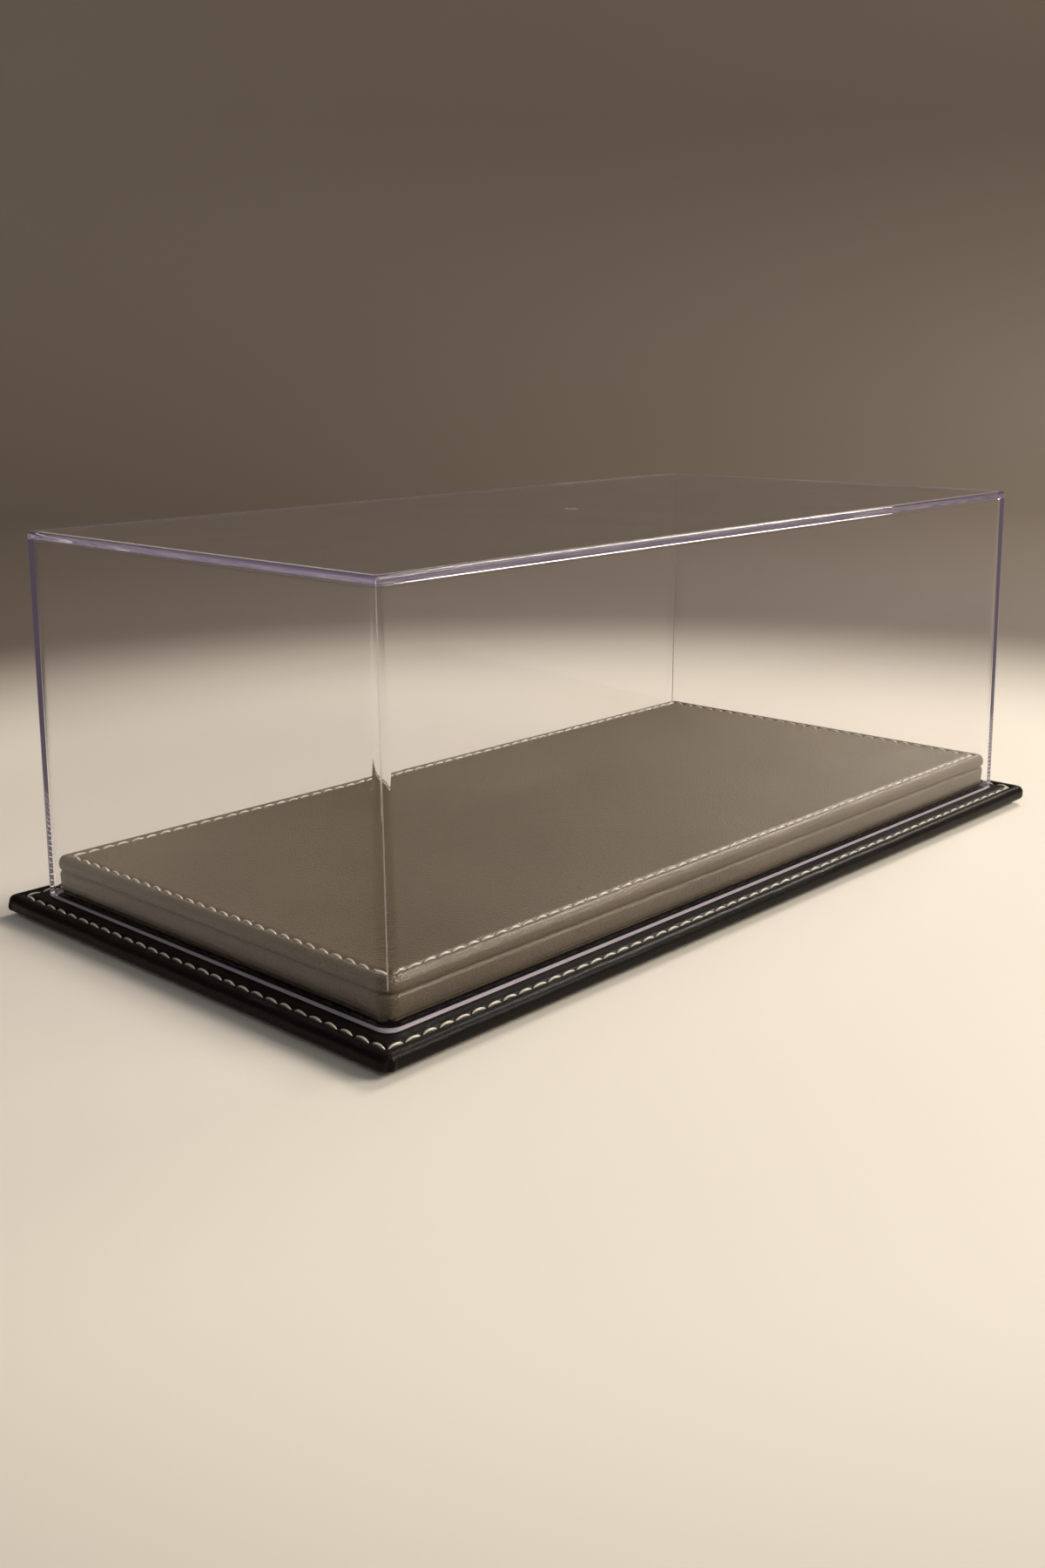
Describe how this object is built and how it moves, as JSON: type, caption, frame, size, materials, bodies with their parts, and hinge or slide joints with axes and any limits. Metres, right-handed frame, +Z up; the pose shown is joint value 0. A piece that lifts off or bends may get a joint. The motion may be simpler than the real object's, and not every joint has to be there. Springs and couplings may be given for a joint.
{
  "type": "display case",
  "caption": "Clear moulded acrylic display case that lifts off a stitched leatherette base with a raised padded deck for a scale model or other collectible.",
  "frame": {"origin": "on the table, under the middle of the base, level with the undersides of the feet", "axes": "+X along the case's long side, +Y across it, +Z up, the way the cover lifts off"},
  "size_m": [0.349, 0.185, 0.125],
  "materials": {
    "acrylic": "clear, polished, faintly lilac at the edges",
    "fibreboard": "raw medium-density fibreboard",
    "black_leatherette": "semi-gloss, fine grain",
    "grey_leatherette": "satin, fine grain",
    "thread": "cream sewing thread",
    "felt": "short-pile felt",
    "foam": "thin laminating foam",
    "rubber": "matt",
    "steel": "zinc-plated"
  },
  "bodies": {
    "base": {"base_board": "fibreboard", "base_wrap": "black_leatherette", "bottom_lining": "felt", "base_seam_front": "thread", "base_seam_back": "thread", "base_seam_left": "thread", "base_seam_right": "thread", "plinth_board": "fibreboard", "plinth_wrap": "grey_leatherette", "plinth_screws": "steel", "pad_board": "fibreboard", "pad_foam": "foam", "pad_cover": "grey_leatherette", "pad_seam_front": "thread", "pad_seam_back": "thread", "pad_seam_left": "thread", "pad_seam_right": "thread", "foot_front_left": "rubber", "foot_front_right": "rubber", "foot_back_left": "rubber", "foot_back_right": "rubber"},
    "cover": {"cover": "acrylic"}
  },
  "joints": [
    {"name": "cover_lift", "type": "slide", "parent": "base", "child": "cover", "axis": [0, 0, 1], "range_m": [0, 0.15]}
  ]
}
